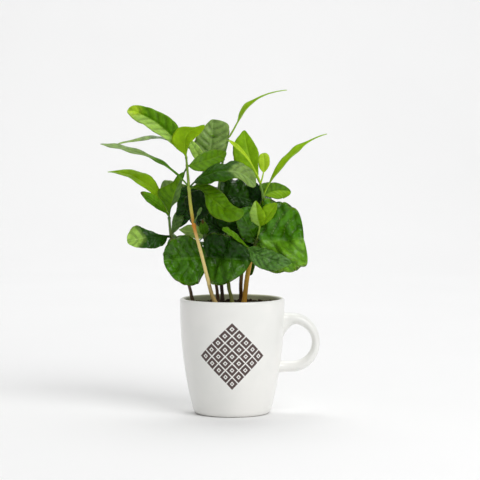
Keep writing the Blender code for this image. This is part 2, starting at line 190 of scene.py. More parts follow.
class Field:
    """A value that changes over a surface: one output socket, with sums written as Python."""

    def __init__(self, finish, socket):
        self.finish, self.socket = finish, socket

    def maths(self, operation, *others, clamp=False):
        values = dict(enumerate((self, *others)))
        return self.finish.node("ShaderNodeMath", {"operation": operation, "use_clamp": clamp}, 0, values)

    def __add__(self, other): return self.maths("ADD", other)
    def __sub__(self, other): return self.maths("SUBTRACT", other)
    def __rsub__(self, other): return self.maths("MULTIPLY_ADD", -1.0, other)
    def __mul__(self, other): return self.maths("MULTIPLY", other)
    def __truediv__(self, other): return self.maths("DIVIDE", other)
    def __lt__(self, other): return self.maths("LESS_THAN", other)
    def __gt__(self, other): return self.maths("GREATER_THAN", other)
    def __abs__(self): return self.maths("ABSOLUTE")
    __radd__, __rmul__ = __add__, __mul__

    def most(self, other): return self.maths("MAXIMUM", other)
    def held(self): return self.maths("ADD", 0.0, clamp=True)
    def share(self): return self.maths("FRACT")

    def between(self, low, high):
        """0 below low, 1 above high, and a smooth step between them."""
        smooth = {"interpolation_type": "SMOOTHSTEP"}
        return self.finish.node("ShaderNodeMapRange", smooth, Value=self, From_Min=low, From_Max=high)


class Finish:
    """One material round a Principled shader, whose patterns are built from Fields."""

    def __init__(self, name, **constants):
        self.material = bpy.data.materials.new(name)
        self.material.use_nodes = True
        self.tree = self.material.node_tree
        self.shader = self.tree.nodes["Principled BSDF"]
        for key, value in constants.items():
            self.shader.inputs[key.replace("_", " ")].default_value = value

    def feed(self, socket, value):
        if isinstance(value, Field):
            self.tree.links.new(value.socket, socket)
        else:
            socket.default_value = value

    def node(self, kind, settings=None, out=0, places=None, **names):
        """One node: its settings first, then its sockets, by place or by name."""
        made = self.tree.nodes.new(kind)
        for key, value in (settings or {}).items():
            if key == "stops":
                self.set_stops(made.color_ramp.elements, value)
            else:
                setattr(made, key, value)
        for place, value in (places or {}).items():
            self.feed(made.inputs[place], value)
        for name, value in names.items():
            self.feed(made.inputs[name.replace("_", " ")], value)
        return Field(self, made.outputs[out])

    def set_stops(self, stops, tones):
        while len(stops) < len(tones):
            stops.new(0.5)
        for stop, (share, *tone) in zip(stops, tones):
            stop.position = share
            stop.color = paint(*tone)

    def show(self, tone, roughness):
        """Feeds the tone and the roughness to the shader."""
        self.feed(self.shader.inputs["Base Color"], tone)
        self.feed(self.shader.inputs["Roughness"], roughness)

    def place(self, stretch=(1, 1, 1)):
        """Object coordinates, stretched."""
        return self.node("ShaderNodeMapping", Vector=self.node("ShaderNodeTexCoord", out="Object"), Scale=stretch)

    def grain(self, scale, detail=2.0, rough=0.5, stretch=(1, 1, 1)):
        """Noise about the value one half."""
        where = self.place(stretch)
        return self.node("ShaderNodeTexNoise", Vector=where, Scale=scale, Detail=detail, Roughness=rough)

    def blend(self, share, low, high):
        """Colour low turning into colour high as share goes from 0 to 1."""
        return self.node("ShaderNodeMix", {"data_type": "RGBA"}, 2, {0: share, 6: low, 7: high})

    def relief(self, height, depth, strength=1.0):
        """Bump of that depth in metres, fed to Normal."""
        bump = self.node("ShaderNodeBump", Strength=strength, Distance=depth, Height=height)
        self.feed(self.shader.inputs["Normal"], bump)

    def axes(self, kind, *scales):
        """The first coordinates of a point, Object or UV, each times its scale."""
        where = self.node("ShaderNodeTexCoord", out=kind)
        split = self.node("ShaderNodeSeparateXYZ", Vector=where).socket.node
        return [Field(self, socket) * scale for socket, scale in zip(split.outputs, scales)]


PRINT_HEIGHT = 51.0
PRINT_HALF = 28.0
PRINT_CELLS = 5
PRINT_BEND = 41.0
CELL, HEART, DOT = 0.44, 0.18, 0.08
CELL_BLUR = 0.025
# Painted reflection: the height and radius within which the inner wall is tinted green, for the leaves' light bounced
# onto it.
BOUNCE_TINT_ABOVE = 86.0
BOUNCE_TINT_WITHIN = 41.5
glaze = Finish("white_glaze", Coat_Weight=0.35, Coat_Roughness=0.12, IOR=1.5)
x, y, z = glaze.axes("Object", 1000.0, 1000.0, 1000.0)
around = x.maths("ARCTAN2", y * -1.0) * PRINT_BEND
upward = z - PRINT_HEIGHT
first = (around + upward) / (PRINT_HALF * 2) + 0.5
second = (around - upward) / (PRINT_HALF * 2) + 0.5
ragged = (glaze.grain(2600.0, detail=3.0) - 0.5) * 0.10


def lozenge(width):
    """Rows of small squares on their points, as a 0 to 1 mask with slightly uneven printed edges."""
    side_a, side_b = (abs((share * PRINT_CELLS).share() - 0.5) + ragged for share in (first, second))
    return side_a.most(side_b).between(width + CELL_BLUR, width - CELL_BLUR)


inside_print = abs(first - 0.5).most(abs(second - 0.5)) < 0.5
ink = inside_print * (y < 0.0) * (lozenge(CELL) - lozenge(HEART) + lozenge(DOT)).held()
cloud = glaze.grain(22.0, detail=3.0)
white = glaze.blend(cloud.between(0.35, 0.65), paint(236, 236, 232), paint(243, 242, 238))
print_tone = glaze.blend(glaze.grain(900.0, detail=4.0).between(0.3, 0.7), paint(60, 40, 37), paint(84, 62, 58))
foot_wear = z.between(0.9, 0.1)
body_tone = glaze.blend(foot_wear, white, paint(206, 200, 190))
# Painted reflection: the inner wall above the soil is tinted greenish grey, for the green light the leaves bounce onto
# it.
painted_leaf_bounce = ((x * x + y * y).maths("SQRT") < BOUNCE_TINT_WITHIN) * (z > BOUNCE_TINT_ABOVE)
body_tone = glaze.blend(painted_leaf_bounce, body_tone, paint(216, 217, 184))
glaze.show(glaze.blend(ink, body_tone, print_tone), 0.26 + cloud * 0.10 + foot_wear * 0.45 + ink * 0.12)
glaze.relief(glaze.grain(60.0) + glaze.grain(420.0) * 0.12, 0.00035, strength=0.25)
mug.data.materials.clear()
mug.data.materials.append(glaze.material)
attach(mug, "root")
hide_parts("mug")


# The soil is dark brown peat, damp and loosely pressed, filled to a few millimetres under the rim.
# Its top is uneven, a little higher round the stems, with crumbs and short fibres lying on it.
SOIL_TOP = 90.0
SOIL_GAP = 0.3
SOIL_SIDES = 96
CRUMBS = 620
CRUMB_SPREAD = 37.5
FIBRES = 70
FIBRE_SPREAD = 34
bore = [(mug_radius(z_mm) - WALL - SOIL_GAP, z_mm) for z_mm in (9, 20, 38, 64, SOIL_TOP - 1.2)]
shoulder = mug_radius(SOIL_TOP) - WALL - SOIL_GAP
top_rings = [(shoulder - 1.0 - 2.3 * i, SOIL_TOP) for i in range(16)]
soil_rings = [(18.0, FLOOR + SOIL_GAP), (26.0, FLOOR + SOIL_GAP)] + bore + top_rings + [(1.2, SOIL_TOP)]
soil = extruded_rings("potting_soil", soil_rings, SOIL_SIDES)
STEM_FEET = ((-12.6, -14), (-32.2, 6), (-11.5, 8), (-8.2, 20), (0.2, 0), (7, 5), (9.4, -4))


def soil_rise(x_mm, y_mm):
    """Height of the soil's lumps over its level at a place on its top."""
    lumps = noise.fractal(Vector((x_mm * 0.16, y_mm * 0.16, 3.0)), 0.7, 2.1, 4)
    slope = 0.012 * x_mm
    mounds = sum(math.exp(-((x_mm - a) ** 2 + (y_mm - b) ** 2) / 22.0) for a, b in STEM_FEET)
    return 0.9 * lumps + slope + 0.6 * min(mounds, 1.5)


for vertex in soil.data.vertices:
    if vertex.co.z > (SOIL_TOP - 0.6) * MM:
        vertex.co.z += soil_rise(vertex.co.x / MM, vertex.co.y / MM) * MM
soil.data.shade_smooth()


def scattered(spread):
    """A random place on the soil, within a distance of its middle."""
    distance, turn = spread * math.sqrt(random.random()), random.uniform(0, math.tau)
    return distance * math.cos(turn), distance * math.sin(turn)


random.seed(41)
crumb_shape = bmesh.new()
for number in range(CRUMBS):
    place = scattered(CRUMB_SPREAD)
    size = random.uniform(0.35, 1.25) if number % 9 else random.uniform(1.3, 2.1)
    height = SOIL_TOP + soil_rise(*place) + size * 0.25
    crumb = bmesh.ops.create_icosphere(crumb_shape, subdivisions=1, radius=size * MM)["verts"]
    squash = Vector((random.uniform(0.7, 1.5), random.uniform(0.7, 1.3), random.uniform(0.5, 0.9)))
    for vertex in crumb:
        rough = 1 + 0.22 * noise.noise(vertex.co * 900 + Vector((number, 0, 0)))
        vertex.co = Vector([vertex.co[i] * squash[i] * rough for i in range(3)])
        vertex.co += Vector((*place, height)) * MM
for number in range(FIBRES):
    start = Vector((*scattered(FIBRE_SPREAD), 0))
    lie = random.uniform(0, math.tau)
    end = start + Vector((math.cos(lie), math.sin(lie), 0)) * random.uniform(2, 5)
    start.z = SOIL_TOP + soil_rise(start.x, start.y) + 0.3
    end.z = SOIL_TOP + soil_rise(end.x, end.y) + random.uniform(0.2, 1.0)
    thin = Vector((-math.sin(lie), math.cos(lie), 0)) * 0.16
    lift = Vector((0, 0, 0.2))
    corners = [crumb_shape.verts.new((p + q) * MM) for p in (start, end) for q in (-thin, thin, lift)]
    for a, b in ((0, 1), (1, 2), (2, 0)):
        crumb_shape.faces.new((corners[a], corners[b], corners[b + 3], corners[a + 3]))
    crumb_shape.faces.new(corners[0:3])
    crumb_shape.faces.new(corners[3:6])


def placed(name, data):
    """A new object in the scene for a mesh, a lamp or a camera."""
    made = bpy.data.objects.new(name, data)
    bpy.context.scene.collection.objects.link(made)
    return made


def shape_object(name, shape):
    """A new object for a shape made in mesh code, with its faces turned outwards."""
    bmesh.ops.recalc_face_normals(shape, faces=shape.faces)
    mesh = bpy.data.meshes.new(name)
    shape.to_mesh(mesh)
    shape.free()
    return placed(name, mesh)


crumbs = shape_object("soil_crumbs", crumb_shape)

peat = Finish("peat", IOR=1.4, Specular_IOR_Level=0.25)
patch = peat.grain(170.0, detail=6.0, rough=0.7)
peat_tone = peat.blend(patch.between(0.35, 0.7), paint(38, 26, 20), paint(86, 62, 44))
flecks = peat.grain(1500.0).between(0.66, 0.74)
peat.show(peat.blend(flecks * 0.6, peat_tone, paint(120, 92, 66)), 0.82 + patch * 0.15)
peat.relief(patch + peat.grain(900.0, detail=5.0) * 0.5, 0.0012)
for piece in (soil, crumbs):
    piece.data.materials.clear()
    piece.data.materials.append(peat.material)
    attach(piece, "root")
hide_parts("soil")


# The stems are seven young shoots from one clump, each with its own taper and lean.
# The bark is thin and finely furrowed, pale tan or brown below and green near the tip,
# and each joint where leaves grow, or have dropped, is a low swelling with a scar line.
STEM_SIDES = 20
STEM_STEP = 1.1
STEM_REACH = 1.6
SWELLING, SWELLING_LENGTH = 0.34, 1.5
SCAR, SCAR_LENGTH, SCAR_DROP = 0.16, 0.35, 1.6


def curve_through(points, step):
    """Smooth (x, y, z, radius) samples through the joints, about one step apart."""
    points = np.array(points, float)
    samples = [points[0]]
    for i in range(len(points) - 1):
        before, start = points[max(i - 1, 0)], points[i]
        end, after = points[i + 1], points[min(i + 2, len(points) - 1)]
        count = max(1, round(np.linalg.norm(end - start) / step))
        lean_in, lean_out = (end - before) / 2, (after - start) / 2
        for k in range(1, count + 1):
            t = k / count
            samples.append(
                start * (2 * t**3 - 3 * t**2 + 1) + lean_in * (t**3 - 2 * t**2 + t)
                + end * (3 * t**2 - 2 * t**3) + lean_out * (t**3 - t**2)
            )
    return samples


def stem_tube(samples, nodes, seed, sides=STEM_SIDES, foot_level=True):
    """Closed furrowed tube along the samples, with a swelling and a scar line at each height in nodes."""
    shape = bmesh.new()
    rows = []
    for i, sample in enumerate(samples):
        centre = Vector(sample[:3])
        ahead = Vector(samples[min(i + 1, len(samples) - 1)][:3])
        behind = Vector(samples[max(i - 1, 0)][:3])
        run = (ahead - behind).normalized() if i or not foot_level else Vector((0, 0, 1))
        side = run.cross(Vector((0, 1, 0))).normalized()
        other = run.cross(side)
        swell = sum(SWELLING * math.exp(-((centre.z - z_mm) / SWELLING_LENGTH) ** 2) for z_mm in nodes)
        scar = sum(SCAR * math.exp(-((centre.z - z_mm + SCAR_DROP) / SCAR_LENGTH) ** 2) for z_mm in nodes)
        row = []
        for j in range(sides):
            angle = math.tau * j / sides
            out = side * math.cos(angle) + other * math.sin(angle)
            furrow = 0.05 * noise.noise(Vector((math.cos(angle) * 3, math.sin(angle) * 3, centre.z * 0.10 + seed)))
            knobs = 0.07 * noise.noise(Vector((math.cos(angle), math.sin(angle), centre.z * 0.35 + seed * 7)))
            radius = sample[3] * (1 + swell - scar + furrow * 1.6 + knobs)
            row.append(shape.verts.new((centre + out * radius) * MM))
        rows.append(row)
    for near, far in zip(rows, rows[1:]):
        for j in range(sides):
            k = (j + 1) % sides
            shape.faces.new((near[j], near[k], far[k], far[j]))
    shape.faces.new(rows[0])
    shape.faces.new(rows[-1])
    return shape


def bark(name, low, high, tones):
    """Bark whose colour runs up the stem between two heights in millimetres, with long fine streaks."""
    skin = Finish(name, IOR=1.45)
    climb = skin.axes("Object", 1000.0, 1000.0, 1000.0)[2]
    streak = skin.grain(260.0, detail=5.0, rough=0.65, stretch=(5.5, 5.5, 0.35))
    height = (climb - low) / (high - low) + (skin.grain(120.0, detail=3.0) - 0.5) * 0.05
    tone = skin.node("ShaderNodeValToRGB", {"stops": tones}, Fac=height.held())
    dark = skin.blend(0.55, tone, paint(60, 38, 22))
    light = skin.blend(0.30, tone, paint(238, 214, 160))
    streaked = skin.blend(streak.between(0.44, 0.28) * 0.7, tone, dark)
    streaked = skin.blend(streak.between(0.58, 0.74) * 0.6, streaked, light)
    skin.show(streaked, 0.42 + streak * 0.22)
    skin.relief(streak + skin.grain(1300.0, detail=3.0) * 0.4, 0.0005, strength=0.6)
    return skin


stems = []


def stem(name, nodes, joints, tones):
    """Makes one stem: heights of its swellings, its (x, y, z, radius) joints and its tones from foot to tip."""
    samples = curve_through(joints, STEM_STEP)
    samples.append(samples[-1] + (samples[-1] - samples[-2]) * (STEM_REACH / STEM_STEP))
    samples[0][2] = SOIL_TOP - 0.4
    piece = shape_object(name + "_bark", stem_tube(samples, nodes, seed=len(stems) * 3.7))
    piece.data.shade_smooth()
    piece.data.materials.append(bark(name + "_skin", joints[0][2], joints[-1][2], tones).material)
    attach(piece, "root")
    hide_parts(name)
    stems.append(piece)


stem("stem_front", (156, 186.5, 204, 211), [
    (-12.6, -14, 90, 2.3), (-16.2, -16, 98, 1.7), (-20.3, -20, 114, 1.5), (-25.2, -24, 134, 1.38),
    (-28.4, -25.5, 146, 1.35), (-30.9, -26, 156, 1.4), (-33.6, -25, 172.5, 1.35), (-34.9, -24, 186, 1.25),
    (-36.4, -22, 203, 0.95), (-37.2, -21, 211, 0.8),
], [(0, 198, 166, 100), (0.2, 226, 204, 134), (0.45, 230, 206, 130), (0.53, 210, 128, 30), (0.585, 196, 150, 44),
    (0.64, 196, 184, 76), (0.78, 168, 184, 76), (0.86, 112, 140, 34), (1, 104, 140, 24)])
stem("stem_left", (145.5, 161), [
    (-32.2, 6, 90, 1.8), (-33.6, 5, 96, 1.4), (-35.4, 4, 104, 1.3), (-41.3, 2, 120, 1.25), (-47, 0, 135, 1.2),
    (-50.2, -1, 145.5, 1.2), (-51.8, -2, 161, 1.0),
], [(0, 104, 84, 66), (0.35, 120, 96, 66), (0.7, 108, 118, 56), (1, 84, 120, 46)])
stem("stem_inner", (129.5, 146.5, 186.5, 201), [
    (-11.5, 8, 90, 1.8), (-12.2, 7.5, 97, 1.4), (-13.3, 6, 105.5, 1.3), (-17.4, 0, 121, 1.3), (-21, -6, 130, 1.3),
    (-22.6, -1, 146.5, 1.2), (-23.6, 2, 163, 1.1), (-23.6, 4, 186, 1.0), (-20.5, 7, 201, 0.8),
], [(0, 92, 62, 38), (0.22, 104, 74, 46), (0.32, 58, 80, 28), (1, 92, 128, 48)])
stem("stem_tall", (142, 180, 225), [
    (-8.2, 20, 90, 2.0), (-8.4, 20, 97, 1.5), (-9, 20, 104, 1.5), (-11, 18, 142, 1.4), (-12, 16, 175, 1.3),
    (-11.2, 16, 184, 1.2), (-8.5, 14, 204, 1.0), (-3.5, 12, 225, 0.8),
], [(0, 70, 50, 40), (0.3, 82, 60, 42), (0.6, 70, 92, 40), (1, 96, 138, 48)])
stem("stem_centre", (146.5, 164), [
    (0.2, 0, 90, 2.0), (-1.1, 0, 97, 1.5), (-2.9, 0, 104.5, 1.5), (-4.3, 4, 124.5, 1.4), (-3.5, 8, 146.5, 1.3),
    (-1.9, 10, 164, 1.0),
], [(0, 136, 136, 64), (0.3, 130, 146, 56), (1, 84, 120, 44)])
stem("stem_short", (136,), [
    (7, 5, 90, 2.0), (7.2, 3, 97, 1.6), (7.2, -5, 109, 1.5), (9, -12, 124.5, 1.4), (13.2, -15, 136.5, 1.2),
], [(0, 92, 62, 34), (0.4, 112, 84, 40), (1, 88, 110, 44)])
stem("stem_right", (142.5, 178.5, 188), [
    (9.4, -4, 90, 2.6), (10.4, -4.6, 97, 2.05), (12.6, -6, 114.5, 1.9), (16.2, -6.5, 131, 1.8),
    (20.3, -7, 142.5, 1.75), (22.8, -4, 158, 1.6), (24.9, -2, 172, 1.3), (25.4, -1, 178.5, 1.2), (23.2, -1, 188, 0.8),
], [(0, 204, 148, 44), (0.25, 216, 166, 54), (0.42, 186, 158, 50), (0.5, 84, 100, 32), (1, 110, 150, 50)])


# The leaves are thin waxy blades, opposite on each joint: round seed leaves low down and long pointed
# leaves above. A grooved midrib and curved side veins quilt the upper skin, the edges are wavy, and
# the paler underside carries the ribs. Young leaves are yellow-green, and old ones deep and glossy.
LEAF_HALF_THICKNESS = 0.17
PETIOLE_HALF_WIDTH = 0.85
UV_PHASE = 20.0
FINE_GRID, PLAIN_GRID = (84, 11), (60, 8)
GROOVE_DEPTH, GROOVE_WIDTH = 0.28, 0.75
RIB_HEIGHT, RIB_WIDTH = 0.62, 0.8
EDGE_RIPPLES = ((3.3, 0.035), (5.4, 0.022))
LUMP_RATES, LUMP_LENGTH = (1.7, 2.6, 3.7, 5.1, 7.3), 60
OUTLINES = {
    "pointed": (30, 82, 100, 62, 16),
    "broad": (48, 93, 100, 68, 18),
    "round": (50, 87, 100, 87, 50),
    "blunt": (42, 86, 100, 95, 62),
}


def leaf(tip, width, face, tone, left="broad", right=None, stalk=0.1, **shape):
    """One leaf: point, width, the way its upper side looks, tone, outline of each half, stalk and bends."""
    return dict(tip=tip, width=width, face=face, tone=tone, left=left, right=right or left, stalk=stalk, **shape)


# Each tone: upper skin, vein, underside, then roughness, sheen and depth of the hollows of the upper skin, which also
# sets how strongly light and shade are painted into those hollows
TONES = {
    "lime": ((176, 212, 30), (196, 226, 80), (176, 206, 80), 0.42, 0.14, 0.15),
    "fresh": ((146, 190, 4), (166, 206, 40), (160, 196, 70), 0.42, 0.12, 0.2),
    "bright": ((126, 172, 2), (154, 194, 40), (150, 186, 64), 0.42, 0.14, 0.25),
    "pale": ((164, 206, 84), (186, 220, 116), (176, 210, 110), 0.36, 0.2, 0.45),
    "leafy": ((92, 144, 2), (126, 170, 40), (128, 164, 70), 0.38, 0.14, 0.6),
    "mid": ((72, 120, 2), (104, 150, 30), (122, 156, 78), 0.36, 0.14, 0.45),
    "olive": ((88, 134, 2), (110, 150, 20), (126, 156, 72), 0.34, 0.14, 0.55),
    # Painted sheen: the two greyish tones below are leaf green mixed with the grey of light reflected off glossy
    # leaves.
    "grey": ((126, 156, 76), (150, 180, 104), (150, 176, 112), 0.3, 0.3, 0.65),
    "sage": ((94, 128, 58), (120, 152, 84), (140, 168, 104), 0.3, 0.34, 0.75),
    "grown": ((56, 104, 2), (90, 138, 40), (116, 148, 82), 0.18, 0.38, 0.8),
    "old": ((68, 126, 0), (90, 146, 22), (110, 146, 76), 0.18, 0.34, 0.8),
    "wide": ((108, 166, 26), (138, 188, 60), (120, 156, 80), 0.18, 0.4, 0.8),
    "cool": ((84, 132, 46), (116, 160, 84), (120, 156, 90), 0.22, 0.4, 0.85),
    # Partly real, partly painted shade: the next two tones are the dark green of old leaves, made darker for leaves
    # inside the crown.
    "dusk": ((34, 72, 2), (58, 100, 26), (100, 132, 74), 0.22, 0.26, 0.8),
    "deep": ((26, 62, 0), (46, 88, 18), (96, 128, 70), 0.16, 0.24, 0.8),
    "shade": ((42, 84, 0), (66, 108, 14), (100, 132, 74), 0.4, 0.06, 0.7),
    # Painted shade: the darkest tone stands for leaves in shadow deep inside the crown.
    "night": ((14, 40, 4), (30, 62, 14), (70, 100, 50), 0.26, 0.2, 0.55),
    "brown": ((92, 66, 30), (110, 84, 44), (112, 84, 48), 0.6, 0.1, 0.2),
}


def unit(vector):
    return vector / np.maximum(np.linalg.norm(vector, axis=-1, keepdims=True), 1e-9)


def edge_curve(shares, along_blade):
    """Half width along the blade: a smooth curve through shares taken every 30 degrees of a half circle."""
    values = np.array([-shares[0], 0, *shares, 0, -shares[-1]]) / 100
    turn = np.degrees(np.arccos(np.clip(1 - 2 * along_blade, -1, 1))) / 30
    step = np.clip(turn.astype(int), 0, 5)
    t = turn - step
    before, start, end, after = (values[step + k] for k in range(4))
    cubic = (2 * start + (end - before) * t + (2 * before - 5 * start + 4 * end - after) * t**2
             + (3 * start - before - 3 * end + after) * t**3) / 2
    return np.maximum(cubic, 0)


def bend(shares, u):
    """Offset of the midrib at u and its slope, from one share at the middle or three along the leaf."""
    if np.isscalar(shares):
        shares = (0.75 * shares, shares, 0.75 * shares)
    curve = np.polyfit((0, 0.25, 0.5, 0.75, 1), (0, *shares, 0), 4)
    return np.polyval(curve, u), np.polyval(np.polyder(curve), u)


def leaf_skins(foot, shape, rng):
    """Upper and lower skins of one leaf as grids of points, with vein phase, place across and along it."""
    half_size = shape["width"] / 2
    rows, half_columns = FINE_GRID if half_size > 10 else PLAIN_GRID
    across = np.linspace(-1, 1, 2 * half_columns + 1)
    v = (across * (0.6 + 0.4 * across**2))[None, :]
    stalk = shape["stalk"]
    angle = np.linspace(0, np.pi, rows + 1)
    blade_u = stalk + (1 - stalk) * (1 - np.cos(angle)) / 2
    stalk_u = np.linspace(0, stalk, 8)[:-1] if stalk else []
    u = np.concatenate([stalk_u, blade_u])[:, None]
    foot, tip, face = (np.array(value, float) for value in (foot, shape["tip"], shape["face"]))
    chord = tip - foot
    length = np.linalg.norm(chord)
    along = chord / length
    normal = unit(face - along * face.dot(along))
    side = np.cross(normal, along)
    x_share = np.clip((u - stalk) / (1 - stalk), 0, 1)
    left, right = (edge_curve(OUTLINES.get(shape[edge], shape[edge]), x_share) for edge in ("left", "right"))
    outline = np.where(v > 0, left, right)
    leans = shape.get("lean", (0.0, 0.0))
    reach = u + np.where(v > 0, leans[0], leans[1]) * outline * abs(v) ** 1.6
    rise, rise_slope = bend(shape.get("arch", 0.06), u)
    drift, drift_slope = bend(shape.get("sway", 0.0), u)
    middle = foot + length * (along * reach[..., None] + normal * rise[..., None] + side * drift[..., None])
    run = unit(along + normal * rise_slope[..., None] + side * drift_slope[..., None])
    level = unit(np.cross(normal, run))
    up = np.cross(run, level)
    veins = shape.get("veins", max(6.0, min(11.0, length / 6.5)))
    blade = np.clip((u - stalk) / (1 - stalk), -0.2, 1)
    slant = 0.85 * half_size / length
    phase = veins * (blade - slant * abs(v) ** 1.25 * (1 - 0.4 * blade)) + 0.35
    puff = 1 - abs(2 * (phase % 1.0) - 1) ** 2.4
    half = np.maximum(half_size * outline, PETIOLE_HALF_WIDTH * shape.get("petiole", 1.0) * (1 - u))
    half = np.maximum(half, 0.03) * (1 - 0.03 * abs(v) ** 2 * (1 - puff))
    fold = math.radians(shape.get("fold", 12))
    reach_out = half * abs(v)
    lift = reach_out * math.sin(fold) - shape.get("cup", 0.0) * half * v * v
    waves = shape.get("waves", 3)
    lift = lift + shape.get("wave", 0.08) * half * v * v * np.sin(2 * np.pi * waves * u + np.sign(v) * 1.1)
    for times, size_share in EDGE_RIPPLES:
        start = rng.uniform(0, math.tau)
        lift = lift + size_share * half * abs(v) ** 1.5 * np.sin(2 * np.pi * times * u + start + np.sign(v))
    for times in LUMP_RATES:
        turn_start, lean_start = rng.uniform(0, math.tau), rng.uniform(-1, 1)
        lump = np.sin(2 * np.pi * times * (u * length + lean_start * half_size * v) / LUMP_LENGTH + turn_start)
        lift = lift + shape.get("rumple", 0.5) * 0.11 * half / times * lump * (1 - 0.5 * v * v)
    ray, distance = np.arctan2(reach_out, u * length + 1e-6), np.hypot(reach_out, u * length)
    lift = lift + shape.get("pleats", 0.0) * distance * np.sin(16 * ray + np.sign(v)) * np.clip(abs(v) * 3, 0, 1)
    body = np.clip(blade * 6, 0, 1) * np.clip((1 - blade) * 4, 0, 1)
    puff = puff * np.clip(abs(v) * 5, 0, 1) * (1 - abs(v) ** 3) * body
    quilt = shape.get("quilt", 1.0) * (0.16 + 0.034 * half) * puff
    groove = -GROOVE_DEPTH * np.exp(-((reach_out / GROOVE_WIDTH) ** 2))
    groove = groove * np.clip(blade * 8, 0, 1) * np.clip((1 - blade) * 5, 0, 1)
    skin = middle + level * (half * v * math.cos(fold))[..., None]
    is_blade = np.clip(blade * 12, 0, 1)
    stalk_half = 0.8 * PETIOLE_HALF_WIDTH * np.sqrt(np.clip(1 - v**2, 0, 1)) * (1 - 0.3 * u)
    edge = 1 - abs(v) ** 10
    top_half = is_blade * LEAF_HALF_THICKNESS * edge + (1 - is_blade) * stalk_half
    rib = RIB_HEIGHT * np.exp(-((reach_out / RIB_WIDTH) ** 2)) * (1 - 0.8 * np.clip(blade, 0, 1))
    rib = rib + 0.10 * (1 - puff) * (1 - abs(v) ** 3)
    low_half = top_half + is_blade * rib * edge
    upper = skin + up * (lift + quilt + groove + top_half)[..., None]
    lower = skin + up * (lift + quilt + groove * 0.3 - low_half)[..., None]
    return upper, lower, phase + 0 * v, v + 0 * u, veins


def add_leaf(store, foot, shape, rng):
    """Adds one closed leaf, whose two skins share their edge, to the arrays of a mass."""
    upper, lower, phase, across, veins = leaf_skins(foot, shape, rng)
    finishes = leaf_pair(shape, veins)
    if finishes not in store["finishes"]:
        store["finishes"].append(finishes)
    finish_index = 2 * store["finishes"].index(finishes)
    rows, columns = upper.shape[0] - 1, upper.shape[1] - 1
    rim = (upper + lower) / 2
    top_ids = np.arange((rows + 1) * (columns + 1)).reshape(rows + 1, columns + 1)
    inner = np.zeros_like(top_ids, bool)
    inner[1:-1, 1:-1] = True
    upper = np.where(inner[..., None], upper, rim)
    low_ids = top_ids.copy()
    low_ids[inner] = (rows + 1) * (columns + 1) + np.arange(inner.sum())
    base = store["count"]
    store["points"].append(np.vstack([upper.reshape(-1, 3), lower[inner]]))
    store["count"] += upper.shape[0] * upper.shape[1] + int(inner.sum())
    for ids, under in ((top_ids, 0), (low_ids, 1)):
        order = [(0, 0), (1, 0), (1, 1), (0, 1)]
        if under:
            order.reverse()
        corners = [(slice(a, rows + a), slice(b, columns + b)) for a, b in order]
        store["faces"].append(np.stack([ids[c] for c in corners], axis=-1).reshape(-1, 4) + base)
        grids = (phase / UV_PHASE, across * 0.5 + 0.5)
        maps = [np.stack([grid[c] for c in corners], axis=-1).reshape(-1, 4) for grid in grids]
        store["uvs"].append(np.stack(maps, axis=-1).reshape(-1, 2))
        store["materials"].append(np.full(rows * columns, finish_index + under))


